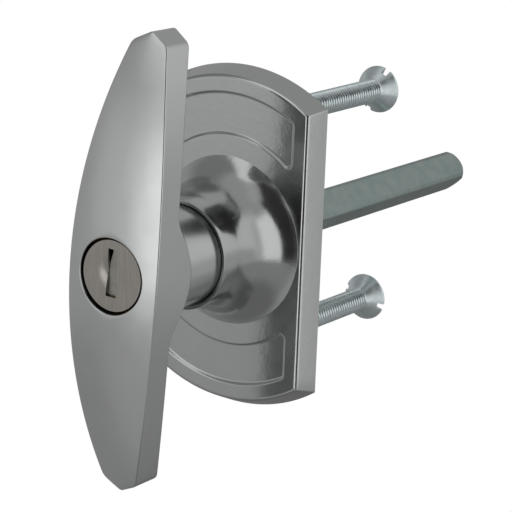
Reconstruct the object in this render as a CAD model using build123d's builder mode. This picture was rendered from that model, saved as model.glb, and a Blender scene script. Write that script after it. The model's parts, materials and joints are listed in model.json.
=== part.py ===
from build123d import *
from math import acos, asin, atan, cos, degrees, radians, sin, sqrt
import os

os.makedirs("parts", exist_ok=True)

# The lock stands as on a door: X is to the right seen from outside, +Y goes into the door, Z is up.
# The origin is on the spindle's axis, in the plane where the backplate meets the door.
# A height is measured from that plane towards the person who turns the handle, so along -Y.
# Lengths are in millimetres and angles in degrees.

# Clearances
running_gap = 0.06  # radial, between pieces that turn or slide in each other
seat_gap = 0.03  # radial, between pieces that are pressed or screwed together
face_gap = 0.05  # between faces that slide past each other
overcut = 1.0  # how far a cut or a blank runs past the piece that it shapes

# Backplate
plate_radius = 40.5
plate_half_width = 23.1
plate_thickness = 5.0
plate_inset = 2.15  # how far the rim slopes in from the door to the front
plate_edge_round = 1.1
hub_radius = 19.9  # where the hub's flare meets the plate's face
hub_flare_width = 11.0
hub_flare_height = 13.3
neck_radius = 12.7
neck_front = 23.2
neck_mouth_bevel = 0.6
panel_inner_radius = 24.7
panel_outer_radius = 34.7
panel_half_width = 17.4
panel_depth = 0.6
panel_corner = 1.2
panel_slope = 45.0
rim_wall = 4.0
cavity_depth = 2.6
hub_wall_radius = 15.8
seat_pocket_radius = 14.3
seat_height = 3.2
boss_radius = 5.5

# Fixing screws, slotted countersunk M6 x 60
fixing_spacing = 54.0
screw_radius = 2.96
screw_core_radius = 2.42
screw_pitch = 1.0
thread_crest = 0.2
screw_length = 60.0
screw_head_radius = 5.9
screw_head_land = 0.35
screw_slot_width = 1.6
screw_slot_depth = 1.5
screw_heads = (57.8, 56.6)  # how far the upper and the lower head stand behind the door plane
screw_slot_turns = (26.0, -73.0)
screw_hole_margin = 0.2

# Handle
rest_turn = 3.2  # the grip stands turned by this much, within the play of its lock
handle_swing = 90.0
grip_half_length = 52.9
grip_corner_height = 50.3
grip_half_width = 12.2
tip_half_width = 4.8
grip_front = 48.1
grip_bow_radius = 153.0
grip_crown_radius = 55.0
grip_side_depth = 6.4
grip_corner_round = 2.8
grip_tip_round = 1.0
grip_edge_round = 0.5
stem_radius = 11.45
stem_end = 0.3
flare_radius = 17.8
flare_length = 6.4
cylinder_bore_radius = 8.56
bore_floor = 10.2
socket_floor = 0.6

# Spindle
spindle_side = 8.0
spindle_corner = 1.0
spindle_tip = 97.8  # behind the door plane
stop_pin_radius = 1.25
stop_pin_bevel = 0.25
stop_pin_height = 6.8
stop_pin_reach = 13.2
stop_recess_radius = 13.4
stop_angle = 225.0  # direction of the pin's free end when the grip is upright

# Lock cylinder
plug_head_front = 46.15
plug_head_thickness = 5.25
plug_head_radius = 7.9
plug_rear = 17.0
cap_radius = 7.95
cap_thickness = 0.8
sleeve_rear = 20.0
sleeve_bore_radius = 7.0
wafer_channel_width = 6.5
wafer_channel_radius = 8.0
sleeve_pin_radius = 1.2
sleeve_pin_height = 21.7
sleeve_pin_depth = 0.8  # how far the pin goes into the sleeve's wall
slot_width = 2.8
slot_height = 10.8
slot_rise = 0.55
scoop_radius = 4.0
scoop_bend = 5.2  # radius of the scoop's flank, which starts level with the face
keyway_width = 2.6
keyway_height = 9.4
keyway_end = 23.5
shutter_thickness = 0.4
shutter_overlap = 0.2
shutter_corner_width = 1.1  # cut off the leaf's free upper corner
shutter_corner_height = 4.2
shutter_pin_radius = 0.4
shutter_knuckle_radius = 0.75
shutter_pin_side = 2.2
shutter_spring_room = 2.4
shutter_pin_hold = 0.8  # how far the pin goes into the plug at each end
wafer_setback = 2.45  # of the first wafer's middle, behind the sleeve's front
wafer_spacing = 3.2
wafer_thickness = 1.4
wafer_half_width = 3.05
wafer_window_width = 3.0
wafer_window_height = 8.2
wafer_steps = (0.4, -0.2, 0.6, 0.0, -0.4)  # rise of each wafer's window, which codes the key
wafer_travel = 0.8
wafer_lug_reach = 5.1
wafer_lug_height = 1.2
spring_wire_radius = 0.11
spring_coil_radius = 0.52
spring_turns = 6
shutter_coil_radius = 0.62
spring_floor = -4.0
clip_radius = 8.0
clip_thickness = 0.55
clip_groove_depth = 1.2
clip_opening = 60.0

# Cam and locking bolt
tang_side = 6.0
tang_length = 2.0
cam_radius = 7.7
cam_rear = 13.3
cam_pin_radius = 1.2
cam_pin_offset = 0.9
bolt_thickness = 2.5
bolt_rear = 10.5
bolt_block_half_width = 4.0
bolt_block_bottom = -7.3
bolt_block_top = 4.4
bolt_tongue_width = 5.0
bolt_tongue_bevel = 0.5
bolt_setback = 0.25  # the drawn bolt ends this far inside the stem
bolt_slot_play = 0.15
lock_notch_play = 0.95
lock_notch_radius = 12.75

# Washer and circlip behind the backplate
washer_thickness = 1.0
washer_radius = 14.0
circlip_thickness = 1.0
circlip_radius = 13.4
circlip_groove_depth = 1.0
circlip_opening = 50.0

# The handle and all that turns with it are drawn on planes turned with the grip.
turned_x = Vector(cos(radians(rest_turn)), 0, -sin(radians(rest_turn)))
turned_z = Vector(sin(radians(rest_turn)), 0, cos(radians(rest_turn)))
door = Plane.XZ
grip = Plane(origin=(0, 0, 0), x_dir=turned_x, z_dir=(0, -1, 0))
grip_section = Plane(origin=(0, 0, 0), x_dir=turned_x, z_dir=turned_z)

neck_bore_radius = stem_radius + running_gap
hub_flare_middle = neck_radius + hub_flare_width
hub_flare_angle = degrees(acos((hub_flare_middle - hub_radius) / hub_flare_width))
hub_flare_top = plate_thickness + hub_flare_height * sin(radians(hub_flare_angle))


# A pie-shaped face with its point on the axis, from one angle to another
def sector(base, radius, start, size):
    with BuildSketch(base, mode=Mode.PRIVATE) as face:
        with BuildLine():
            arc = CenterArc((0, 0), radius, start, size)
            Line((0, 0), arc @ 0)
            Line(arc @ 1, (0, 0))
        make_face()
    return face.sketch


# The backplate's outline, drawn in from the rim by a margin
def plate_outline(base, margin):
    with BuildSketch(base, mode=Mode.PRIVATE) as face:
        Circle(plate_radius - margin)
        Rectangle(2 * (plate_half_width - margin), 2 * plate_radius, mode=Mode.INTERSECT)
    return face.sketch


# An open ring such as a clip, lying between two heights
def open_ring(name, outer, inner, low, thickness, opening, opening_at):
    with BuildPart() as ring:
        with BuildSketch(grip.offset(low)):
            Circle(outer)
            Circle(inner, mode=Mode.SUBTRACT)
        extrude(amount=thickness)
        gap = sector(grip.offset(low), 2 * outer, opening_at - opening / 2, opening)
        extrude(gap, amount=thickness, mode=Mode.SUBTRACT)
    ring.part.label = name
    export_step(ring.part, f"parts/{name}.step")


# Backplate: sloped rim and a neck that flares into the plate, hollowed from behind
lock_bolt_high = bolt_rear + bolt_thickness + face_gap
stop_half_angle = degrees(asin((stop_pin_radius + running_gap) / neck_bore_radius))
stop_recess_start = stop_angle - handle_swing - stop_half_angle
stop_recess_size = handle_swing + 2 * stop_half_angle
stop_recess_height = stop_pin_height + stop_pin_radius + running_gap
lock_notch_half = bolt_tongue_width / 2 + lock_notch_play
screw_tips = [screw_length - head for head in screw_heads]

with BuildPart() as backplate:
    extrude(
        plate_outline(door, 0),
        amount=plate_thickness,
        taper=degrees(atan(plate_inset / plate_thickness)),
    )
    front_face = backplate.faces().sort_by(Axis.Y)[0]
    fillet(front_face.edges(), plate_edge_round)
    with BuildSketch(Plane.XY) as hub_half:
        with BuildLine():
            Polyline(
                (0, -plate_thickness / 2),
                (0, -neck_front),
                (neck_radius, -neck_front),
                (neck_radius, -hub_flare_top),
            )
            EllipticalCenterArc(
                (hub_flare_middle, -hub_flare_top),
                hub_flare_width,
                hub_flare_height,
                start_angle=180 - hub_flare_angle,
                arc_size=hub_flare_angle,
            )
            Polyline(
                (hub_radius, -plate_thickness),
                (hub_radius, -plate_thickness / 2),
                (0, -plate_thickness / 2),
            )
        make_face()
    revolve(axis=Axis.Y)

    # Two sunk panels above and below the hub
    with BuildSketch(door.offset(plate_thickness)) as panels:
        Circle(panel_outer_radius)
        Circle(panel_inner_radius, mode=Mode.SUBTRACT)
        Rectangle(2 * panel_half_width, 2 * panel_outer_radius, mode=Mode.INTERSECT)
        fillet(panels.vertices(), panel_corner)
    extrude(amount=-panel_depth, taper=panel_slope, mode=Mode.SUBTRACT)

    # Hollows on the door side, with the hub and two screw bosses left standing
    with BuildSketch(door) as hollow:
        add(plate_outline(Plane.XY, rim_wall))
        Circle(hub_wall_radius, mode=Mode.SUBTRACT)
        with GridLocations(0, fixing_spacing, 1, 2):
            Circle(boss_radius, mode=Mode.SUBTRACT)
    extrude(amount=cavity_depth, mode=Mode.SUBTRACT)
    with BuildSketch(door):
        Circle(seat_pocket_radius)
    extrude(amount=seat_height, mode=Mode.SUBTRACT)

    # The neck's bore, with its mouth bevelled
    with BuildSketch(door):
        Circle(neck_bore_radius)
    extrude(amount=neck_front, mode=Mode.SUBTRACT)
    mouth = (
        backplate.edges()
        .filter_by(GeomType.CIRCLE)
        .filter_by(lambda edge: abs(edge.radius - neck_bore_radius) < 0.01)
        .sort_by(Axis.Y)[0]
    )
    chamfer(mouth, neck_mouth_bevel)

    # Channels for the locking bolt at both ends of the handle's swing, and the stop pin's recess
    with BuildSketch(door):
        with PolarLocations(lock_notch_radius / 2, 2, angular_range=handle_swing, endpoint=True):
            Rectangle(lock_notch_radius, 2 * lock_notch_half)
        Circle(lock_notch_radius, mode=Mode.INTERSECT)
    extrude(amount=lock_bolt_high, mode=Mode.SUBTRACT)
    recess = sector(door, stop_recess_radius, stop_recess_start, stop_recess_size)
    extrude(recess, amount=stop_recess_height, mode=Mode.SUBTRACT)

    # Tapped holes in the bosses, at the thread's full diameter
    with BuildSketch(door):
        with GridLocations(0, fixing_spacing, 1, 2):
            Circle(screw_radius + seat_gap)
    extrude(amount=max(screw_tips) + screw_hole_margin, mode=Mode.SUBTRACT)
backplate.part.label = "backplate"
export_step(backplate.part, "parts/backplate.step")

# Handle: a bowed, crowned grip with square sides on a hollow stem
bow_centre = grip_bow_radius - grip_front
crown_drop = grip_crown_radius - sqrt(grip_crown_radius**2 - grip_half_width**2)
slab_half_width = grip_half_width + overcut
slab_drop = grip_crown_radius - sqrt(grip_crown_radius**2 - slab_half_width**2)
slab_rear = grip_bow_radius - crown_drop - grip_side_depth
bow_half_angle = degrees(asin((grip_half_length + overcut) / slab_rear))
bow_up = turned_z * sin(radians(bow_half_angle)) - Vector(0, 1, 0) * cos(radians(bow_half_angle))
bow_plane = Plane(origin=(0, bow_centre, 0), x_dir=turned_x, z_dir=turned_x.cross(bow_up))
flare_low = grip_front - crown_drop - grip_side_depth - flare_length
grip_core = grip_front - crown_drop - grip_side_depth / 2
socket_top = bore_floor - socket_floor
circlip_low = seat_height - 2 * face_gap - washer_thickness - circlip_thickness
stop_way = turned_x * cos(radians(stop_angle)) + turned_z * sin(radians(stop_angle))

with BuildPart() as handle:
    with BuildSketch(bow_plane):
        with BuildLine():
            ThreePointArc(
                (-slab_half_width, grip_bow_radius - slab_drop),
                (0, grip_bow_radius),
                (slab_half_width, grip_bow_radius - slab_drop),
            )
            Polyline(
                (slab_half_width, grip_bow_radius - slab_drop),
                (slab_half_width, slab_rear),
                (-slab_half_width, slab_rear),
                (-slab_half_width, grip_bow_radius - slab_drop),
            )
        make_face()
    revolve(axis=Axis((0, bow_centre, 0), turned_x), revolution_arc=2 * bow_half_angle)
    with BuildSketch(grip_section):
        Polygon(
            (0, -grip_core),
            (flare_radius, -grip_core),
            (flare_radius, -flare_low - flare_length),
            (stem_radius, -flare_low),
            (0, -flare_low),
            align=None,
        )
    revolve(axis=Axis.Y)
    with BuildSketch(grip.offset(flare_low - overcut)) as grip_outline:
        with BuildLine():
            right = ThreePointArc(
                (tip_half_width, -grip_corner_height),
                (grip_half_width, 0),
                (tip_half_width, grip_corner_height),
            )
            left = ThreePointArc(
                (-tip_half_width, grip_corner_height),
                (-grip_half_width, 0),
                (-tip_half_width, -grip_corner_height),
            )
            Polyline(right @ 1, (0, grip_half_length), left @ 0)
            Polyline(left @ 1, (0, -grip_half_length), right @ 0)
        make_face()
        fillet(grip_outline.vertices().sort_by(Axis.Y)[1:-1], grip_corner_round)
        tips = grip_outline.vertices().sort_by(Axis.Y)
        fillet([tips[0], tips[-1]], grip_tip_round)
    extrude(amount=grip_front, mode=Mode.INTERSECT)
    grip_face = handle.faces().sort_by(Axis.Y)[0]
    fillet(grip_face.edges(), grip_edge_round)
    with BuildSketch(grip.offset(stem_end)):
        Circle(stem_radius)
    extrude(amount=grip_core - stem_end)

    # Bore for the lock cylinder
    with BuildSketch(grip.offset(bore_floor)):
        Circle(cylinder_bore_radius)
    extrude(amount=grip_front, mode=Mode.SUBTRACT)

    # Square socket for the spindle, corner up
    with BuildSketch(grip):
        Rectangle(spindle_side + 2 * seat_gap, spindle_side + 2 * seat_gap, rotation=45)
    extrude(amount=socket_top, mode=Mode.SUBTRACT)

    # Window for the locking bolt's tongue
    with BuildSketch(grip.offset(bolt_rear - face_gap)):
        with Locations((0, stem_radius)):
            Rectangle(bolt_tongue_width + 2 * running_gap, stem_radius)
    extrude(amount=bolt_thickness + 2 * face_gap, mode=Mode.SUBTRACT)

    # Cross holes for the stop pin and the pin that holds the lock cylinder
    with BuildSketch(Plane(origin=(0, -stop_pin_height, 0), z_dir=stop_way)):
        Circle(stop_pin_radius + seat_gap)
    extrude(amount=2 * stem_radius, both=True, mode=Mode.SUBTRACT)
    with BuildSketch(Plane(origin=(0, -sleeve_pin_height, 0), z_dir=-turned_x)):
        Circle(sleeve_pin_radius + seat_gap)
    extrude(amount=2 * stem_radius, mode=Mode.SUBTRACT)

    # Groove for the circlip
    with BuildSketch(grip.offset(circlip_low - face_gap)):
        Circle(stem_radius + overcut)
        Circle(stem_radius - circlip_groove_depth, mode=Mode.SUBTRACT)
    extrude(amount=circlip_thickness + 2 * face_gap, mode=Mode.SUBTRACT)
handle.part.label = "handle"
export_step(handle.part, "parts/handle.step")

# Spindle: square bar with eased corners and a nose turned to a half ball
spindle_top = socket_top - face_gap
half_side = spindle_side / 2
nose_radius = (half_side - spindle_corner) * sqrt(2) + spindle_corner + running_gap
with BuildPart() as spindle:
    with BuildSketch(grip.offset(-spindle_tip)):
        RectangleRounded(spindle_side, spindle_side, spindle_corner, rotation=45)
    extrude(amount=spindle_tip + spindle_top)
    with BuildSketch(grip_section):
        with BuildLine():
            nose = CenterArc((0, spindle_tip - nose_radius), nose_radius, 0, 90)
            Polyline(nose @ 1, (0, -spindle_top), (nose_radius, -spindle_top), nose @ 0)
        make_face()
    revolve(axis=Axis.Y, mode=Mode.INTERSECT)
    with BuildSketch(Plane(origin=(0, -stop_pin_height, 0), z_dir=stop_way)):
        Circle(stop_pin_radius + seat_gap)
    extrude(amount=spindle_side, both=True, mode=Mode.SUBTRACT)
spindle.part.label = "spindle"
export_step(spindle.part, "parts/spindle.step")

# Pin through stem and spindle, whose free end stops the swing in the hub's recess
with BuildPart() as stop_pin:
    pin_start = Vector(0, -stop_pin_height, 0) - stop_way * (stem_radius - bolt_setback)
    with BuildSketch(Plane(origin=pin_start, z_dir=stop_way)):
        Circle(stop_pin_radius)
    extrude(amount=stop_pin_reach + stem_radius - bolt_setback)
    chamfer(stop_pin.edges().filter_by(GeomType.CIRCLE), stop_pin_bevel)
stop_pin.part.label = "spindle_stop_pin"
export_step(stop_pin.part, "parts/spindle_stop_pin.step")

# Thrust washer that bears on the hub from behind
with BuildPart() as washer:
    with BuildSketch(grip.offset(seat_height - face_gap - washer_thickness)):
        Circle(washer_radius)
        Circle(stem_radius + running_gap, mode=Mode.SUBTRACT)
    extrude(amount=washer_thickness)
washer.part.label = "thrust_washer"
export_step(washer.part, "parts/thrust_washer.step")

open_ring(
    "stem_circlip",
    circlip_radius,
    stem_radius - circlip_groove_depth + seat_gap,
    circlip_low,
    circlip_thickness,
    circlip_opening,
    stop_angle - 180,
)

# Cylinder sleeve with a channel above and below for the wafers
plug_head_rear = plug_head_front - plug_head_thickness
sleeve_front = plug_head_rear - face_gap
with BuildPart() as sleeve:
    with BuildSketch(grip.offset(sleeve_rear)):
        Circle(cylinder_bore_radius - seat_gap)
        Circle(sleeve_bore_radius, mode=Mode.SUBTRACT)
    extrude(amount=sleeve_front - sleeve_rear)
    with BuildSketch(grip.offset(sleeve_rear)):
        Rectangle(wafer_channel_width, 2 * wafer_channel_radius)
        Circle(wafer_channel_radius, mode=Mode.INTERSECT)
    extrude(amount=sleeve_front - sleeve_rear, mode=Mode.SUBTRACT)
    with BuildSketch(Plane(origin=(0, -sleeve_pin_height, 0), z_dir=-turned_x)):
        Circle(sleeve_pin_radius + seat_gap)
    extrude(until=Until.LAST, mode=Mode.SUBTRACT)
sleeve.part.label = "cylinder_sleeve"
export_step(sleeve.part, "parts/cylinder_sleeve.step")

# Pin that keeps the sleeve in the stem
sleeve_pin_inner = cylinder_bore_radius - sleeve_pin_depth
sleeve_pin_tip = Vector(0, -sleeve_pin_height, 0) - turned_x * sleeve_pin_inner
with BuildPart() as sleeve_pin:
    with BuildSketch(Plane(origin=sleeve_pin_tip, z_dir=-turned_x)):
        Circle(sleeve_pin_radius)
    extrude(amount=stem_radius - bolt_setback - sleeve_pin_inner)
sleeve_pin.part.label = "sleeve_pin"
export_step(sleeve_pin.part, "parts/sleeve_pin.step")

# Plug: flanged head with the shutter's room, keyway, wafer slots, clip groove and square tang
plug_radius = sleeve_bore_radius - running_gap
wafer_radius = plug_radius - running_gap
wafer_first = sleeve_front - wafer_setback
wafer_heights = [wafer_first - wafer_spacing * index for index in range(len(wafer_steps))]
wafer_slot = wafer_thickness + 2 * running_gap
lug_pocket_reach = wafer_lug_reach + running_gap
lug_low = -wafer_lug_height / 2
lug_pocket_top = wafer_lug_height / 2 + wafer_travel + face_gap
clip_low = sleeve_rear - face_gap - clip_thickness
clip_inner = plug_radius - clip_groove_depth
cap_front = plug_head_front + cap_thickness
shutter_room_width = shutter_pin_side + shutter_knuckle_radius + running_gap
shutter_leaf_width = shutter_pin_side + slot_width / 2 + shutter_overlap
shutter_reach = sqrt(shutter_leaf_width**2 + shutter_knuckle_radius**2)
shutter_room_left = shutter_reach - shutter_pin_side + running_gap
shutter_room_depth = face_gap + shutter_knuckle_radius + shutter_reach + running_gap
shutter_leaf_height = slot_height - 2 * shutter_overlap
shutter_room_height = shutter_leaf_height + 2 * running_gap
shutter_pin_height = plug_head_front - face_gap - shutter_knuckle_radius
shutter_pin_length = shutter_room_height + 2 * shutter_pin_hold
shutter_pin_foot = grip.from_local_coords(
    (shutter_pin_side, slot_rise - shutter_pin_length / 2, shutter_pin_height)
)

with BuildPart() as plug:
    with BuildSketch(grip.offset(plug_head_rear)):
        Circle(plug_head_radius)
    extrude(amount=plug_head_front - plug_head_rear)
    with BuildSketch(grip.offset(plug_rear)):
        Circle(plug_radius)
    extrude(amount=plug_head_rear - plug_rear)
    with BuildSketch(grip.offset(plug_rear - tang_length)):
        Rectangle(tang_side, tang_side)
    extrude(amount=tang_length)
    with BuildSketch(grip.offset(plug_head_front - shutter_room_depth)):
        with Locations(((shutter_room_width - shutter_room_left) / 2, slot_rise)):
            Rectangle(shutter_room_width + shutter_room_left, shutter_room_height)
    extrude(amount=shutter_room_depth, mode=Mode.SUBTRACT)
    with BuildSketch(grip.offset(keyway_end)):
        with Locations((0, slot_rise)):
            Rectangle(keyway_width, keyway_height)
    extrude(amount=plug_head_front - keyway_end, mode=Mode.SUBTRACT)
    for height in wafer_heights:
        with BuildSketch(grip.offset(height - wafer_slot / 2)):
            Rectangle(2 * (wafer_half_width + running_gap), 2 * plug_head_radius)
            with Locations((-lug_pocket_reach, spring_floor)):
                Rectangle(lug_pocket_reach, lug_pocket_top - spring_floor, align=Align.MIN)
        extrude(amount=wafer_slot, mode=Mode.SUBTRACT)
    with BuildSketch(grip.offset(clip_low - face_gap)):
        Circle(plug_radius + overcut)
        Circle(clip_inner, mode=Mode.SUBTRACT)
    extrude(amount=clip_thickness + face_gap, mode=Mode.SUBTRACT)
    with BuildSketch(Plane(origin=shutter_pin_foot, z_dir=turned_z)):
        Circle(shutter_pin_radius)
    extrude(amount=shutter_pin_length, mode=Mode.SUBTRACT)
plug.part.label = "lock_plug"
export_step(plug.part, "parts/lock_plug.step")

# Stainless face on the plug's head, with the key slot and a scoop that guides the key
scoop_middle = grip.from_local_coords((0, slot_rise, 0))
scoop_turn = degrees(asin(scoop_radius / scoop_bend))
with BuildPart() as plug_face:
    with BuildSketch(grip.offset(plug_head_front)):
        Circle(cap_radius)
        with Locations((0, slot_rise)):
            Rectangle(slot_width, slot_height, mode=Mode.SUBTRACT)
    extrude(amount=cap_thickness)
    with BuildSketch(Plane(origin=scoop_middle, x_dir=turned_z, z_dir=-turned_x)):
        with BuildLine():
            flank = CenterArc((scoop_radius, scoop_bend - cap_front), scoop_bend, -90, -scoop_turn)
            Polyline(flank @ 0, (0, -cap_front), flank @ 1)
        make_face()
    revolve(axis=Axis(scoop_middle, (0, -1, 0)), revolution_arc=180, mode=Mode.SUBTRACT)
plug_face.part.label = "plug_face_cap"
export_step(plug_face.part, "parts/plug_face_cap.step")

# Dust shutter: a leaf behind the key slot with a rolled knuckle, on an upright pin
shutter_foot = grip.from_local_coords((0, slot_rise - shutter_leaf_height / 2, 0))
shutter_floor = Plane(origin=shutter_foot, x_dir=turned_x, z_dir=turned_z)
with BuildPart() as shutter:
    with BuildSketch(shutter_floor):
        with Locations((shutter_pin_side, -shutter_pin_height)):
            Circle(shutter_knuckle_radius)
        with Locations((shutter_pin_side, -plug_head_front + face_gap)):
            Rectangle(shutter_leaf_width, shutter_thickness, align=(Align.MAX, Align.MIN))
        with Locations((shutter_pin_side, -shutter_pin_height)):
            Circle(shutter_pin_radius + running_gap, mode=Mode.SUBTRACT)
    extrude(amount=shutter_leaf_height)
    with BuildSketch(shutter_floor.offset(shutter_leaf_height - shutter_spring_room)):
        with Locations((shutter_pin_side, -shutter_pin_height)):
            Rectangle(
                2 * shutter_knuckle_radius + 2 * face_gap,
                2 * shutter_knuckle_radius + 2 * face_gap,
            )
    extrude(amount=shutter_spring_room, mode=Mode.SUBTRACT)
    with BuildSketch(grip.offset(plug_head_front)):
        with Locations((shutter_pin_side - shutter_leaf_width, slot_rise + shutter_leaf_height / 2)):
            Polygon(
                (0, 0),
                (0, -shutter_corner_height),
                (shutter_corner_width, 0),
                align=None,
            )
    extrude(amount=-2 * shutter_thickness, mode=Mode.SUBTRACT)
shutter.part.label = "dust_shutter"
export_step(shutter.part, "parts/dust_shutter.step")

with BuildPart() as shutter_pin:
    with BuildSketch(Plane(origin=shutter_pin_foot, z_dir=turned_z)):
        Circle(shutter_pin_radius)
    extrude(amount=shutter_pin_length)
shutter_pin.part.label = "shutter_pin"
export_step(shutter_pin.part, "parts/shutter_pin.step")


# A coil spring standing on a point, along the wafers' way
def coil(foot, coil_radius, turns, length):
    pitch = (length - 2 * spring_wire_radius) / turns
    base = Plane(origin=foot + turned_z * spring_wire_radius, x_dir=turned_x, z_dir=turned_z)
    with BuildPart() as spring:
        with BuildLine(base):
            wire = Helix(pitch, pitch * turns, coil_radius)
        with BuildSketch(Plane(origin=wire @ 0, z_dir=wire % 0)):
            Circle(spring_wire_radius)
        sweep(path=wire, is_frenet=True)
    return spring.part


with BuildPart() as shutter_spring:
    coil_foot = shutter_floor.from_local_coords(
        (shutter_pin_side, -shutter_pin_height, shutter_leaf_height - shutter_spring_room + face_gap)
    )
    add(coil(coil_foot, shutter_coil_radius, spring_turns, shutter_spring_room - 2 * face_gap))
shutter_spring.part.label = "shutter_spring"
export_step(shutter_spring.part, "parts/shutter_spring.step")

# Wafers: sprung plates, each with its key window at its own step
for index, (height, step) in enumerate(zip(wafer_heights, wafer_steps), 1):
    with BuildPart() as wafer:
        with BuildSketch(grip.offset(height - wafer_thickness / 2)):
            Circle(wafer_radius)
            Rectangle(2 * wafer_half_width, 2 * wafer_radius, mode=Mode.INTERSECT)
            Rectangle(wafer_lug_reach, wafer_lug_height, align=(Align.MAX, Align.CENTER))
            with Locations((0, slot_rise + step)):
                Rectangle(wafer_window_width, wafer_window_height, mode=Mode.SUBTRACT)
        extrude(amount=wafer_thickness)
    wafer.part.label = f"wafer_{index}"
    export_step(wafer.part, f"parts/wafer_{index}.step")

# One spring under each wafer's lug
with BuildPart() as wafer_springs:
    lug_middle = (wafer_lug_reach + wafer_half_width) / 2
    for height in wafer_heights:
        spring_foot = grip.from_local_coords((-lug_middle, spring_floor, height))
        add(coil(spring_foot, spring_coil_radius, spring_turns, lug_low - face_gap - spring_floor))
wafer_springs.part.label = "wafer_springs"
export_step(wafer_springs.part, "parts/wafer_springs.step")

open_ring(
    "plug_clip",
    clip_radius,
    clip_inner + seat_gap,
    clip_low,
    clip_thickness,
    clip_opening,
    -90,
)

# Cam: a disc pressed on the plug's tang, with a pin off its axis that shifts the bolt
cam_pin_start = cam_pin_offset * sqrt(0.5)
with BuildPart() as cam:
    with BuildSketch(grip.offset(cam_rear)):
        Circle(cam_radius)
    extrude(amount=plug_rear - face_gap - cam_rear)
    with BuildSketch(grip.offset(plug_rear - tang_length - face_gap)):
        Rectangle(tang_side + 2 * seat_gap, tang_side + 2 * seat_gap)
    extrude(amount=tang_length + face_gap, mode=Mode.SUBTRACT)
    with BuildSketch(grip.offset(bolt_rear + face_gap)):
        with Locations((-cam_pin_start, -cam_pin_start)):
            Circle(cam_pin_radius)
    extrude(amount=cam_rear - bolt_rear - face_gap)
cam.part.label = "lock_cam"
export_step(cam.part, "parts/lock_cam.step")

# Locking bolt: a block across the stem's bore with a slot for the cam's pin, and a tongue
bolt_slot_left = -cam_pin_offset - cam_pin_radius - bolt_slot_play
bolt_slot_right = -cam_pin_start + cam_pin_radius + bolt_slot_play
bolt_slot_half = cam_pin_radius + bolt_slot_play
with BuildPart() as bolt:
    with BuildSketch(grip.offset(bolt_rear)) as bolt_shape:
        with Locations((0, bolt_block_bottom)):
            Rectangle(
                2 * bolt_block_half_width,
                bolt_block_top - bolt_block_bottom,
                align=(Align.CENTER, Align.MIN),
            )
        with Locations((0, bolt_block_top)):
            Rectangle(
                bolt_tongue_width,
                stem_radius - bolt_setback - bolt_block_top,
                align=(Align.CENTER, Align.MIN),
            )
        with Locations(((bolt_slot_left + bolt_slot_right) / 2, -cam_pin_start)):
            SlotOverall(bolt_slot_right - bolt_slot_left, 2 * bolt_slot_half, mode=Mode.SUBTRACT)
    extrude(amount=bolt_thickness)
    chamfer(bolt.edges().filter_by(Axis.Y).group_by(Axis.Z)[-1], bolt_tongue_bevel)
bolt.part.label = "locking_bolt"
export_step(bolt.part, "parts/locking_bolt.step")


# Crests and roots of a thread's profile, from its tip up
def thread_points(tip_height, thread_count):
    points = []
    for index in range(thread_count):
        crest = tip_height + screw_pitch * (index + 0.5)
        points.append((screw_radius, crest - thread_crest / 2))
        points.append((screw_radius, crest + thread_crest / 2))
        points.append((screw_core_radius, tip_height + screw_pitch * (index + 1)))
    return points


# Fixing screws: slotted countersunk heads, threaded up to the head
with BuildPart() as screws:
    for side, head, tip, turn in zip((1, -1), screw_heads, screw_tips, screw_slot_turns):
        screw_axis = Axis((0, 0, side * fixing_spacing / 2), (0, 1, 0))
        screw_plane = Plane(origin=(0, 0, side * fixing_spacing / 2))
        neck = head - screw_head_land - (screw_head_radius - screw_radius)
        thread_count = int((neck + tip) / screw_pitch) - 1
        with BuildSketch(screw_plane):
            with BuildLine():
                Polyline(
                    (0, -tip),
                    (screw_core_radius, -tip),
                    *thread_points(-tip, thread_count),
                    (screw_radius, neck),
                    (screw_head_radius, head - screw_head_land),
                    (screw_head_radius, head),
                    (0, head),
                    (0, -tip),
                )
            make_face()
        revolve(axis=screw_axis)
        with BuildSketch(Plane(origin=(0, head, side * fixing_spacing / 2), z_dir=(0, 1, 0))):
            Rectangle(2 * (screw_head_radius + overcut), screw_slot_width, rotation=turn)
        extrude(amount=-screw_slot_depth, mode=Mode.SUBTRACT)
screws.part.label = "fixing_screws"
export_step(screws.part, "parts/fixing_screws.step")
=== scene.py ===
import math
import bpy
import bmesh
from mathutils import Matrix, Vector
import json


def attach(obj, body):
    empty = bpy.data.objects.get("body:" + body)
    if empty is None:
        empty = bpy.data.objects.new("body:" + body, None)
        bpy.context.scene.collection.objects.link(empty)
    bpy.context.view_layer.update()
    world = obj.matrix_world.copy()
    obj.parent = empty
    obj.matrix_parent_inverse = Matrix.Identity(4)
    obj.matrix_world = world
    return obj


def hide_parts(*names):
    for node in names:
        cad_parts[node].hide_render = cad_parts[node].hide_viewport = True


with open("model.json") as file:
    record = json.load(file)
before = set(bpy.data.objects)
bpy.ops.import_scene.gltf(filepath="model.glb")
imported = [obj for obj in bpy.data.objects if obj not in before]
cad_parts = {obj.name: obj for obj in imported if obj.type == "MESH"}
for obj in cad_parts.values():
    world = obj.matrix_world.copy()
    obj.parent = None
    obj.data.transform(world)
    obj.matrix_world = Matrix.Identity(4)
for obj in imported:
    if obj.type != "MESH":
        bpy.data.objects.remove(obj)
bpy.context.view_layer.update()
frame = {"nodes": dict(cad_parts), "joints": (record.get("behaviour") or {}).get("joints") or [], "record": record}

mm = 0.001
joints = {joint["name"]: joint for joint in frame["joints"]}
# the grip stands this far from upright
restTurn = -math.radians(joints["handle_turn"]["range_deg"][0])

# The camera stands right of the lock and a little above it, with a long lens.
cameraView = {
    "azimuth": 35.05,  # degrees from straight in front, towards the lock's right
    "elevation": 15.23,
    "roll": 2.19,
    "distance": 0.5029,  # in metres, like all below but the lens and the sensor
    "nearest": 0.01,
    "aimRight": 0.0040,  # how far the aim lies right of the spindle's axis
    "aimUp": -0.0046,
    "lens": 151.6,
    "sensor": 36,
}


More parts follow.
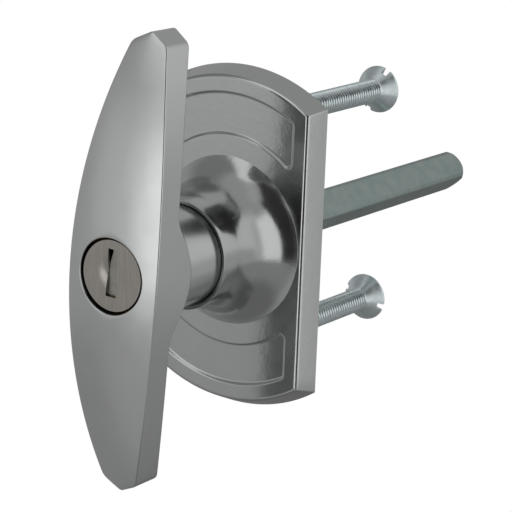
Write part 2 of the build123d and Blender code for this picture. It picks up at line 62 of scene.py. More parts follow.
def directionOf(azimuth, elevation):
    # unit vector towards a place round the lock: 0 is in front of it, 90 is on its right
    turn, rise = math.radians(azimuth), math.radians(elevation)
    level = math.cos(rise)
    return Vector((math.sin(turn) * level, -math.cos(turn) * level, math.sin(rise)))


def makeCamera(view):
    back = directionOf(view["azimuth"], view["elevation"])
    right = Vector((0, 0, 1)).cross(back).normalized()
    up = back.cross(right)
    aim = right * view["aimRight"] + up * view["aimUp"]
    roll = math.radians(view["roll"])
    camera = bpy.data.objects.new("camera", bpy.data.cameras.new("camera"))
    bpy.context.scene.collection.objects.link(camera)
    camera.data.lens = view["lens"]
    camera.data.sensor_width = view["sensor"]
    camera.data.clip_start = view["nearest"]
    axisX = right * math.cos(roll) + up * math.sin(roll)
    axisY = up * math.cos(roll) - right * math.sin(roll)
    rows = [[axisX[i], axisY[i], back[i], (aim + back * view["distance"])[i]] for i in range(3)]
    camera.matrix_world = [*zip(*(rows + [[0, 0, 0, 1]]))]
    bpy.context.scene.camera = camera


makeCamera(cameraView)
print("camera placed")


def addNode(tree, kind, settings={}, inputs={}):
    # one node with its settings, and its inputs as plain values or as another node's socket
    node = tree.nodes.new(kind)
    for name, value in settings.items():
        setattr(node, name, value)
    for name, value in inputs.items():
        if isinstance(value, bpy.types.NodeSocket):
            tree.links.new(value, node.inputs[name])
        else:
            node.inputs[name].default_value = value
    return node


def linear(hexColour):
    # sRGB hex to the linear colour that the shader takes, by the standard's own curve
    parts = [int(hexColour[i:i + 2], 16) / 255 for i in (1, 3, 5)]
    return [c / 12.92 if c <= 0.04045 else ((c + 0.055) / 1.055) ** 2.4 for c in parts] + [1]


# Meshes are built from closed rings of points, in millimetres: across, height above the door, up.
def platePoint(point):
    across, height, up = point
    return Vector((across, -height, up)) * mm


def gripPoint(point):
    # the same for what turns with the grip
    across, height, up = point
    sine, cosine = math.sin(restTurn), math.cos(restTurn)
    return Vector((across * cosine + up * sine, -height, up * cosine - across * sine)) * mm


def addRing(mesh, points, place):
    return [mesh.verts.new(place(point)) for point in points]


def joinRings(mesh, rings):
    for low, high in zip(rings, rings[1:]):
        for i in range(len(low)):
            j = (i + 1) % len(low)
            mesh.faces.new((low[i], low[j], high[j], high[i]))


def capRing(mesh, ring, centre):
    for i in range(len(ring)):
        mesh.faces.new((ring[i], ring[(i + 1) % len(ring)], centre))


def fillBetween(mesh, rings):
    # flat face with any number of holes, between rings that lie in one plane
    edges = []
    for ring in rings:
        for i in range(len(ring)):
            pair = (ring[i], ring[(i + 1) % len(ring)])
            edges.append(mesh.edges.get(pair) or mesh.edges.new(pair))
    bmesh.ops.triangle_fill(mesh, use_beauty=True, use_dissolve=False, edges=edges)


creaseAngle = 32  # degrees; where a casting's faces meet at more, the edge stays sharp
weldDistance = 1e-7  # in metres


def finishMesh(mesh, name, sharpAngle=creaseAngle):
    # merged, turned outwards and smooth shaded, as an object
    bmesh.ops.remove_doubles(mesh, verts=mesh.verts, dist=weldDistance)
    bmesh.ops.recalc_face_normals(mesh, faces=mesh.faces)
    data = bpy.data.meshes.new(name)
    mesh.to_mesh(data)
    mesh.free()
    data.polygons.foreach_set("use_smooth", [True] * len(data.polygons))
    data.set_sharp_from_angle(angle=math.radians(sharpAngle))
    piece = bpy.data.objects.new(name, data)
    bpy.context.scene.collection.objects.link(piece)
    return piece


def roundedPath(points, rounds, steps=5):
    # a path through corner points, each corner rounded by its own radius
    path = [points[0]]
    for before, corner, after, radius in zip(points, points[1:], points[2:], rounds):
        if radius <= 0:
            path.append(corner)
            continue
        corner = Vector(corner)
        back = (Vector(before) - corner).normalized()
        ahead = (Vector(after) - corner).normalized()
        half = back.angle(ahead) / 2
        centre = corner + (back + ahead).normalized() * radius / math.sin(half)
        start = corner + back * radius / math.tan(half) - centre
        end = corner + ahead * radius / math.tan(half) - centre
        sweep = start.angle_signed(end)
        for i in range(steps + 1):
            turn = -sweep * i / steps
            path.append((
                centre.x + start.x * math.cos(turn) - start.y * math.sin(turn),
                centre.y + start.x * math.sin(turn) + start.y * math.cos(turn),
            ))
    return path + [points[-1]]


def circleRing(turns, radius, height, up=0):
    # a ring about the spindle's axis, or about one above it, with a point at each turn
    return [(radius * math.cos(t), height, up + radius * math.sin(t)) for t in turns]


def mirrored(quarter):
    # a quarter outline from the right side to the top, mirrored into a whole one
    half = quarter + [(-a, b) for a, b in reversed(quarter[:-1])]
    return half + [(a, -b) for a, b in reversed(half[1:-1])]


def spread(start, end, count):
    return [start + (end - start) * i / count for i in range(count + 1)]


def arcPoints(radius, turns, across=0, up=0):
    return [(across + radius * math.cos(t), up + radius * math.sin(t)) for t in turns]


def polar(points):
    # points given by their radius and their direction in degrees
    spots = [(radius, math.radians(turn)) for radius, turn in points]
    return [(radius * math.cos(t), radius * math.sin(t)) for radius, t in spots]


def circlesMeet(centre, radius, otherCentre, otherRadius):
    # where two circles cross, on the left of the way from the first centre to the other
    apart = otherCentre - centre
    along = (radius ** 2 - otherRadius ** 2 + apart.length ** 2) / (2 * apart.length)
    off = math.sqrt(radius ** 2 - along ** 2)
    way = apart.normalized()
    return centre + way * along - Vector((way.y, -way.x)) * off


def makePrism(outline, low, high, place=platePoint):
    # a closed block between two heights, to cut with
    mesh = bmesh.new()
    rings = [addRing(mesh, [(a, height, b) for a, b in outline], place) for height in (low, high)]
    joinRings(mesh, rings)
    for ring in rings:
        mesh.faces.new(ring)
    return finishMesh(mesh, "cutter")


def applyModifiers(piece):
    # the piece's shape with its modifiers worked in, as a plain mesh
    view = bpy.context.evaluated_depsgraph_get()
    data = bpy.data.meshes.new_from_object(piece.evaluated_get(view))
    piece.modifiers.clear()
    piece.data = data


def carve(piece, cutters):
    for cutter in cutters:
        cut = piece.modifiers.new("cut", "BOOLEAN")
        cut.operation = "DIFFERENCE"
        cut.solver = "MANIFOLD"
        cut.object = cutter
    applyModifiers(piece)
    for cutter in cutters:
        bpy.data.objects.remove(cutter)
    piece.data.materials.clear()
    piece.data.set_sharp_from_angle(angle=math.radians(creaseAngle))
    return piece


# Grip and stem, one casting
gripForm = {
    "halfLength": 52.9,
    "cornerHeight": 50.3,
    "halfWidth": 12.2,
    "tipHalfWidth": 4.8,
    "front": 48.1,  # height of the face's middle above the door
    "bowRadius": 153.0,
    "crownRadius": 55.0,
    "sideDepth": 6.4,  # height of the square sides
    "tipBow": 400.0,  # radius of the nearly straight edges that meet at the tip
    "cornerRound": 2.8,
    "tipRound": 1.03,
    "frontEdgeRound": 0.4,
    "rearEdgeRound": 0.5,
    "stemRadius": 11.45,
    "stemEnd": 0.3,
    "stemBevel": 0.3,
    "flareRadius": 17.8,
    "flareLength": 6.4,
    "flareBlend": 1.6,  # reach of the blend between flare and arm
    "stemBlend": 1.0,
    "boreRadius": 8.56,
    "boreFloor": 10.2,
    "boreMouthRound": 0.2,
    "socketSide": 8.06,
    "socketTop": 9.6,
    "boltWindow": (2.56, 5.7, 17.2, 10.45, 13.05),  # half width, from and to outwards, low and high
    # pins' holes: radius, height, direction in degrees, and whether they go right through
    "stopPinHole": (1.28, 6.8, 225.0, True),
    "sleevePinHole": (1.23, 21.7, 180.0, False),
    "grooveRadius": 10.45,
    "grooveLow": 1.05,
    "grooveHigh": 2.15,
    # how finely the casting is meshed
    "longStep": 1.1,  # largest step along the grip
    "turnStep": 2.4,  # the same round the bore, in degrees
    "cornerSteps": 8,
    "tipEdgeSteps": 10,
    "tipSteps": 5,
    "mouthSteps": 4,
    "frontRings": 34,
    "edgeSteps": 6,
    "sideRings": (0.04, 0.35, 0.65, 0.96),  # shares of the way down the sides
    "rearRings": 40,
    "rearCrowding": 1.6,  # above 1 the rear's rings crowd towards the stem
    "blendSteps": 5,
    "holeSteps": 32,
    "slopeProbe": 0.05,  # how far in from the rim the faces' slope is taken
    "wallRing": 1.0,  # depth of the first ring on the stem's wall
}


def gripOutline(form):
    # Side, corner, tip edge and tip of one quarter, then all four. Each entry is the centre of the
    # arc that the point lies on, the arc's radius, and the outward direction there.
    sag = form["halfWidth"] - form["tipHalfWidth"]
    sideRadius = (form["cornerHeight"] ** 2 + sag ** 2) / (2 * sag)
    sideCentre = Vector((form["halfWidth"] - sideRadius, 0))
    sharpCorner = Vector((form["tipHalfWidth"], form["cornerHeight"]))
    sharpTip = Vector((0, form["halfLength"]))
    outward = Vector((sharpTip.y - sharpCorner.y, sharpCorner.x - sharpTip.x)).normalized()
    tipRadius = form["tipBow"]
    depth = math.sqrt(tipRadius ** 2 - (sharpCorner - sharpTip).length_squared / 4)
    tipCentre = (sharpCorner + sharpTip) / 2 - outward * depth
    cornerRadius, apexRadius = form["cornerRound"], form["tipRound"]
    corner = circlesMeet(sideCentre, sideRadius - cornerRadius, tipCentre, tipRadius - cornerRadius)
    cornerStart = math.atan2(corner.y, corner.x - sideCentre.x)
    cornerEnd = math.atan2(corner.y - tipCentre.y, corner.x - tipCentre.x)
    apex = Vector((0, tipCentre.y + math.sqrt((tipRadius - apexRadius) ** 2 - tipCentre.x ** 2)))
    apexStart = math.atan2(apex.y - tipCentre.y, -tipCentre.x)

    # the side's points are no further apart than these steps, along it and as seen from the bore
    heights = [0.0]
    sideTop = sideRadius * math.sin(cornerStart)
    while heights[-1] < sideTop:
        up = heights[-1]
        across = sideCentre.x + math.sqrt(sideRadius ** 2 - up ** 2)
        step = math.radians(form["turnStep"]) * (across ** 2 + up ** 2) / across
        heights.append(up + min(step, form["longStep"]))
    scale = sideTop / heights[-1]
    entries = [(sideCentre, sideRadius, math.asin(up * scale / sideRadius)) for up in heights]
    for centre, radius, start, end, steps in (
        (corner, cornerRadius, cornerStart, cornerEnd, form["cornerSteps"]),
        (tipCentre, tipRadius, cornerEnd, apexStart, form["tipEdgeSteps"]),
        (apex, apexRadius, apexStart, math.pi / 2, form["tipSteps"]),
    ):
        entries += [(centre, radius, turn) for turn in spread(start, end, steps)[1:]]
    quarter = [(c, r, Vector((math.cos(turn), math.sin(turn)))) for c, r, turn in entries]
    flip = Vector((-1, 1))
    half = quarter + [(c * flip, r, n * flip) for c, r, n in reversed(quarter[:-1])]
    return half + [(c * -flip, r, n * -flip) for c, r, n in reversed(half[1:-1])]


def insetPoint(entry, inset):
    # the outline's point, moved in from the rim
    centre, radius, way = entry
    return centre + way * (radius - inset)


def armDepth(form):
    # from the middle of the face down to the rear's edge: the crown's fall and the square side
    crown = form["crownRadius"]
    return crown - math.sqrt(crown ** 2 - form["halfWidth"] ** 2) + form["sideDepth"]


def flareCone(form):
    # height at which the flare leaves the stem, and how steeply it rises outwards from there
    low = form["front"] - armDepth(form) - form["flareLength"]
    return low, form["flareLength"] / (form["flareRadius"] - form["stemRadius"])


def flareFootRadius(form):
    # where the flare goes over into the blend at the stem
    slope = math.atan(flareCone(form)[1])
    return form["stemRadius"] + form["stemBlend"] * (1 - math.sin(slope))


def gripFaces(form):
    # the heights of the crowned, bowed face and of the rear over any point of the grip
    bow, crown = form["bowRadius"], form["crownRadius"]
    rearRadius = bow - armDepth(form)
    flareLow, flareSlope = flareCone(form)

    def frontHeight(across, up):
        reach = bow - (crown - math.sqrt(crown ** 2 - across ** 2))
        return math.sqrt(reach ** 2 - up ** 2) - (bow - form["front"])

    def rearHeight(across, up):
        # the arm's back and the flare round the stem, blended where they meet
        arm = math.sqrt(rearRadius ** 2 - up ** 2) - (bow - form["front"])
        flare = flareLow + (math.hypot(across, up) - form["stemRadius"]) * flareSlope
        near = max(form["flareBlend"] - abs(arm - flare), 0) / form["flareBlend"]
        return min(arm, flare) - near ** 2 * form["flareBlend"] / 4

    return frontHeight, rearHeight


def edgeRows(form, outline, frontHeight, rearHeight):
    # Rows of points and heights over the rounded edges, one row for each step of the rounding:
    # from the face to the side, and from the side to the rear.
    edge, rear = form["frontEdgeRound"], form["rearEdgeRound"]
    probe, steps = form["slopeProbe"], form["edgeSteps"]
    frontEdge, rearEdge = [], []
    for entry in outline:
        rim, inner = insetPoint(entry, 0), insetPoint(entry, probe)
        slope = math.atan((frontHeight(*inner) - frontHeight(*rim)) / probe)
        top = frontHeight(*insetPoint(entry, edge * (1 - math.sin(slope))))
        first = math.cos(slope)
        frontEdge.append([
            (insetPoint(entry, edge * (1 - math.sin(t))), top - edge * (first - math.cos(t)))
            for t in spread(slope, math.pi / 2, steps)
        ])
        slope = math.atan((rearHeight(*rim) - rearHeight(*inner)) / probe)
        last = math.pi / 2 - slope
        foot = rearHeight(*insetPoint(entry, rear * (1 - math.cos(last))))
        middle = foot + rear * math.sin(last)
        rearEdge.append([
            (insetPoint(entry, rear * (1 - math.cos(t))), middle - rear * math.sin(t))
            for t in spread(0, last, steps)
        ])
    return list(zip(*frontEdge)), list(zip(*rearEdge))


def boreRings(form, angles, frontHeight):
    # the bore's floor, its wall and the rounded mouth, whose rim follows the crowned face
    mouth = form["boreMouthRound"]
    rim = form["boreRadius"] + mouth
    heights = [frontHeight(rim * math.cos(t), rim * math.sin(t)) for t in angles]
    rings = [circleRing(angles, form["boreRadius"], form["boreFloor"])]
    for turn in spread(0, math.pi / 2, form["mouthSteps"]):
        radius = form["boreRadius"] + mouth * (1 - math.cos(turn))
        drop = mouth * (1 - math.sin(turn))
        rings.append([
            (radius * math.cos(t), height - drop, radius * math.sin(t))
            for t, height in zip(angles, heights)
        ])
    return rings


def stemRings(form, angles):
    # from the flare's foot down the wall, over the groove of the circlip and into the spindle's
    # square socket
    low, slope = flareCone(form)
    stem, blend, bevel = form["stemRadius"], form["stemBlend"], form["stemBevel"]
    turn = math.atan(slope)
    coneFoot = low + (flareFootRadius(form) - stem) * slope
    path = []
    for share in spread(0, 1, form["blendSteps"])[1:]:
        way = math.pi / 2 - (math.pi / 2 - turn) * (1 - share)
        path.append((
            stem + blend * (1 - math.sin(way)),
            coneFoot - blend * (math.cos(turn) - math.cos(way)),
        ))
    wallTop = coneFoot - blend * math.cos(turn)
    path += [
        (stem, wallTop - form["wallRing"]),
        (stem, (wallTop + form["grooveHigh"]) / 2),
        (stem, form["grooveHigh"]),
        (form["grooveRadius"], form["grooveHigh"]),
        (form["grooveRadius"], form["grooveLow"]),
        (stem, form["grooveLow"]),
        (stem, form["stemEnd"] + bevel),
        (stem - bevel, form["stemEnd"]),
    ]
    rings = [circleRing(angles, radius, height) for radius, height in path]
    halfDiagonal = form["socketSide"] / math.sqrt(2)
    reaches = [halfDiagonal / (abs(math.cos(t)) + abs(math.sin(t))) for t in angles]
    for height in (form["stemEnd"], form["socketTop"]):
        rings.append([
            (reach * math.cos(t), height, reach * math.sin(t)) for reach, t in zip(reaches, angles)
        ])
    return rings


def buildHandle(form):
    outline = gripOutline(form)
    frontHeight, rearHeight = gripFaces(form)
    frontRows, rearRows = edgeRows(form, outline, frontHeight, rearHeight)
    rims = [insetPoint(entry, 0) for entry in outline]
    angles = [math.atan2(rim.y, rim.x) for rim in rims]
    ways = [Vector((math.cos(t), math.sin(t))) for t in angles]

    def ringOf(row):
        return [(spot.x, height, spot.y) for spot, height in row]

    def ringsAcross(starts, ends, shares, heightAt):
        # rings over a face, from the starts to the ends
        for share in shares:
            spots = [start.lerp(end, share) for start, end in zip(starts, ends)]
            yield [(spot.x, heightAt(*spot), spot.y) for spot in spots]

    rings = boreRings(form, angles, frontHeight)
    boreRim = [way * (form["boreRadius"] + form["boreMouthRound"]) for way in ways]
    faceRim = [spot for spot, height in frontRows[0]]
    rings += ringsAcross(boreRim, faceRim, spread(0, 1, form["frontRings"])[1:], frontHeight)
    rings += [ringOf(row) for row in frontRows[1:]]
    for share in form["sideRings"]:
        rings.append([
            (spot.x, top + (bottom[1] - top) * share, spot.y)
            for (spot, top), bottom in zip(frontRows[-1], rearRows[0])
        ])
    rings += [ringOf(row) for row in rearRows]
    rearRim = [spot for spot, height in rearRows[-1]]
    flareRim = [way * flareFootRadius(form) for way in ways]
    even = spread(0, 1, form["rearRings"])[1:]
    crowded = [1 - (1 - share) ** form["rearCrowding"] for share in even]
    rings += ringsAcross(rearRim, flareRim, crowded, rearHeight)
    rings += stemRings(form, angles)
    mesh = bmesh.new()
    made = [addRing(mesh, ring, gripPoint) for ring in rings]
    joinRings(mesh, made)
    capRing(mesh, made[0], mesh.verts.new(gripPoint((0, form["boreFloor"], 0))))
    capRing(mesh, made[-1], mesh.verts.new(gripPoint((0, form["socketTop"], 0))))
    return finishMesh(mesh, "gripAndStem")


def crossHole(form, hole):
    # cutter for a pin's hole across the stem
    radius, height, turn, through = hole
    reach = 2 * form["stemRadius"]
    ahead, aside = polar([(1, turn), (1, turn + 90)])

    def place(point):
        side, along, rise = point
        spot = Vector(ahead) * along + Vector(aside) * side
        return gripPoint((spot.x, height + rise, spot.y))

    outline = polar([(radius, t) for t in spread(0, 360, form["holeSteps"])[:-1]])
    return makePrism(outline, -reach if through else 0, reach, place)


def handleCutters(form):
    # window for the locking bolt and the holes of the two cross pins
    half, inner, outer, low, high = form["boltWindow"]
    window = [(half, inner), (half, outer), (-half, outer), (-half, inner)]
    cutters = [makePrism(window, low, high, gripPoint)]
    return cutters + [crossHole(form, form[name]) for name in ("stopPinHole", "sleevePinHole")]


handle = carve(buildHandle(gripForm), handleCutters(gripForm))
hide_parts("handle")
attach(handle, "handle")
print("grip and stem made")

# Backplate, one casting with its flared hub and neck
plateForm = {
    "radius": 40.5,
    "halfWidth": 23.1,
    "thickness": 5.0,
    "inset": 2.15,  # how far the rim slopes in
    "cornerRound": 0.5,
    "edgeRound": 1.1,
    "rearBevel": 0.15,
    "flareRadius": 19.9,
    "flareWidth": 11.0,
    "flareHeight": 13.3,
    "flareFoot": 0.15,
    "neckRadius": 12.7,
    "neckFront": 23.2,
    "neckRimRound": 0.15,
    "mouthBevel": 0.6,
    "mouthRounds": (0.08, 0.1),  # at the bevel's outer and inner edge
    "boreRadius": 11.51,
    "panelInner": 24.7,
    "panelOuter": 34.7,
    "panelHalfWidth": 17.4,
    "panelDepth": 0.6,
    "panelCorner": 1.5,
    "panelSlope": 0.5,  # how far the panel's edge slopes in
    "panelRounds": (0.35, 0.45),  # at the top and the foot of that slope
    "rimWall": 4.0,  # width left round the hollow behind
    "cavityDepth": 2.6,
    "hubRadius": 15.8,
    "pocketRadius": 14.3,  # of the room for washer and circlip
    "pocketDepth": 3.2,
    "bossRadius": 5.5,
    "bossSpacing": 54.0,
    "holeRadius": 2.99,
    "holeDepth": 3.6,
    "boltChannelHalf": 3.45,
    "boltChannelRadius": 12.75,
    "boltChannelTop": 13.05,
    "boltChannels": (0, 90),  # directions of the bolt at both ends of the swing, in degrees
    "stopRecessRadius": 13.4,
    "stopRecessTop": 8.11,
    "stopRecess": (128.5, 231.5),  # from and to, in degrees up from the right
    # how finely the casting is meshed
    "hold": 0.12,  # width of the flat ring that keeps a flat face's shading flat
    "lead": 1.0,  # length of the straight run-in that a rounded edge starts or ends with
    "sideSteps": 8,
    "cornerSteps": 6,
    "archSteps": 30,
    "panelArcSteps": 28,
    "panelCornerSteps": 8,
    "rimSteps": 8,
    "flareSteps": 48,
    "flareFootSkip": 3,  # points of the flare's curve that its foot's round stands in for
    "neckSteps": 4,
    "mouthSteps": 4,
    "circleCount": 192,
    "channelSteps": 12,
    "recessSteps": 40,
    "cutBelow": -1,  # where the cutters start, behind the rear face
}


def plateRing(form, inset, height):
    half = form["halfWidth"] - inset
    radius = form["radius"] - inset
    corner = form["cornerRound"]
    cornerUp = math.sqrt((radius - corner) ** 2 - (half - corner) ** 2)
    cornerTurn = math.atan2(cornerUp, half - corner)
    quarter = [(half, up) for up in spread(0, cornerUp, form["sideSteps"])]
    cornerTurns = spread(0, cornerTurn, form["cornerSteps"])[1:]
    quarter += arcPoints(corner, cornerTurns, half - corner, cornerUp)
    quarter += arcPoints(radius, spread(cornerTurn, math.pi / 2, form["archSteps"])[1:])
    return [(a, height, b) for a, b in mirrored(quarter)]


def panelRing(form, inset, height, side):
    # one sunk panel: an arc about the hub, an arc along the plate's end, and rounded corners
    half = form["panelHalfWidth"] - inset
    outer = form["panelOuter"] - inset
    inner = form["panelInner"] + inset
    corner = form["panelCorner"] - inset
    innerUp = math.sqrt((inner + corner) ** 2 - (half - corner) ** 2)
    outerUp = math.sqrt((outer - corner) ** 2 - (half - corner) ** 2)
    innerTurn = math.atan2(innerUp, half - corner)
    outerTurn = math.atan2(outerUp, half - corner)
    arcSteps, cornerSteps = form["panelArcSteps"], form["panelCornerSteps"]
    innerTurns = spread(innerTurn - math.pi, 0, cornerSteps)[1:]
    path = arcPoints(inner, spread(math.pi / 2, innerTurn, arcSteps))
    path += arcPoints(corner, innerTurns, half - corner, innerUp)
    path += arcPoints(corner, spread(0, outerTurn, cornerSteps), half - corner, outerUp)
    path += arcPoints(outer, spread(outerTurn, math.pi / 2, arcSteps)[1:])
    path += [(-a, b) for a, b in reversed(path[1:-1])]
    return [(a, height, b * side) for a, b in path]


def rimPath(form):
    # from the hollow behind, over the rear edge and the sloped rim, to the front face
    top, wall, bevel = form["thickness"], form["rimWall"], form["rearBevel"]
    path = roundedPath(
        [(wall, form["cavityDepth"]), (wall, 0), (bevel, 0), (0, bevel),
         (form["inset"], top), (form["inset"] + form["lead"], top)],
        [0, 0, 0, form["edgeRound"]], form["rimSteps"],
    )
    path[-1] = (path[-2][0] + form["hold"], top)
    return path


def hubPath(form):
    # from the front face up flare and neck, through mouth and bore, and round the hub behind
    top, front, foot = form["thickness"], form["neckFront"], form["flareFoot"]
    wide, tall = form["flareWidth"], form["flareHeight"]
    middle = form["neckRadius"] + wide
    last = math.acos((middle - form["flareRadius"]) / wide)
    above = top + tall * math.sin(last)  # where the flare ends in the neck's wall
    curve = [
        (middle - wide * math.cos(t), above - tall * math.sin(t))
        for t in spread(last, 0, form["flareSteps"])
    ]
    wall = spread(above, front, form["neckSteps"])[1:]
    curve += [(form["neckRadius"], height) for height in wall]
    skip, rim = form["flareFootSkip"], form["flareRadius"]
    start = roundedPath([(rim + form["lead"], top), (rim, top), curve[skip]], [foot])
    start[0] = (start[1][0] + form["hold"], top)
    bore, mouth, pocket = form["boreRadius"], form["mouthBevel"], form["pocketDepth"]
    neck = roundedPath(
        [curve[-2], curve[-1], (bore + mouth, front), (bore, front - mouth), (bore, pocket)],
        [form["neckRimRound"], *form["mouthRounds"]], form["mouthSteps"],
    )
    hub = [
        (bore, pocket), (form["pocketRadius"], pocket), (form["pocketRadius"], 0),
        (form["hubRadius"], 0), (form["hubRadius"], form["cavityDepth"]),
    ]
    return start[:-1] + curve[skip:-1] + neck[1:-1] + hub


def panelPath(form):
    # from the front face over the panel's sloping edge to its floor
    top, slope, lead = form["thickness"], form["panelSlope"], form["lead"]
    floor = top - form["panelDepth"]
    corners = [(-lead, top), (0, top), (slope, floor), (slope + lead, floor)]
    path = roundedPath(corners, form["panelRounds"])
    path[0] = (path[1][0] - form["hold"], top)
    path[-1] = (path[-2][0] + form["hold"], floor)
    return path


def buildBackplate(form):
    mesh = bmesh.new()
    turns = spread(0, 2 * math.pi, form["circleCount"])[:-1]

    def joined(rings):
        made = [addRing(mesh, ring, platePoint) for ring in rings]
        joinRings(mesh, made)
        return made

    def turned(path, up=0):
        return joined([circleRing(turns, radius, height, up) for radius, height in path])

    rimRings = joined([plateRing(form, inset, height) for inset, height in rimPath(form)])
    hubRings = turned(hubPath(form))
    panelRims = []
    for side in (1, -1):
        rings = joined([
            panelRing(form, inset, height, side) for inset, height in panelPath(form)
        ])
        fillBetween(mesh, [rings[-1]])
        panelRims.append(rings[0])
    fillBetween(mesh, [rimRings[-1], hubRings[0], *panelRims])

    # screw bosses with their holes, on the floor of the hollow
    bossPath = [
        (form["bossRadius"], form["cavityDepth"]), (form["bossRadius"], 0),
        (form["holeRadius"], 0), (form["holeRadius"], form["holeDepth"]),
    ]
    bossRims = []
    for side in (1, -1):
        up = side * form["bossSpacing"] / 2
        rings = turned(bossPath, up)
        capRing(mesh, rings[-1], mesh.verts.new(platePoint((0, form["holeDepth"], up))))
        bossRims.append(rings[0])
    fillBetween(mesh, [rimRings[0], hubRings[-1], *bossRims])
    return finishMesh(mesh, "plateCasting")


def plateCutters(form):
    # channels for the locking bolt at both ends of the swing, and the stop pin's recess
    half, reach, below = form["boltChannelHalf"], form["boltChannelRadius"], form["cutBelow"]
    side = math.degrees(math.asin(half / reach))
    cutters = []
    for way in form["boltChannels"]:
        arc = [(reach, way + turn) for turn in spread(-side, side, form["channelSteps"])]
        foot = [(half, way + 90), (half, way - 90)]
        cutters.append(makePrism(polar(arc + foot), below, form["boltChannelTop"]))
    turns = spread(*form["stopRecess"], form["recessSteps"])
    sector = [(form["stopRecessRadius"], turn) for turn in turns] + [(0, 0)]
    cutters.append(makePrism(polar(sector), below, form["stopRecessTop"]))
    return cutters


backplate = carve(buildBackplate(plateForm), plateCutters(plateForm))
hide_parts("backplate")
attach(backplate, "backplate")
print("backplate made")


# Fixing screws, slotted countersunk M6 x 60, made by Geometry Nodes
screwForm = {
    "length": 60.0,
    "threadRadius": 2.96,
    "coreRadius": 2.42,
    "pitch": 1.0,
    "crest": 0.2,  # width of the flat on each of the thread's crests
    "headRadius": 5.9,
    "headLand": 0.35,  # height of the head's straight rim
    "rimBevel": 0.12,
    "slotWidth": 1.6,
    "slotDepth": 1.5,
    "spacing": plateForm["bossSpacing"],
    "upperHead": 57.8,  # how far the head stands behind the door plane
    "lowerHead": 56.6,
    "upperTurn": 26.0,  # of the slot, in degrees clockwise from upright seen from the front
    "lowerTurn": -73.0,
    "around": 48,  # points round the blank
    "rings": 480,  # rings along the blank, eight to a turn of the thread
}
threadCrease = 38  # degrees, less than between a thread's crest and its flank


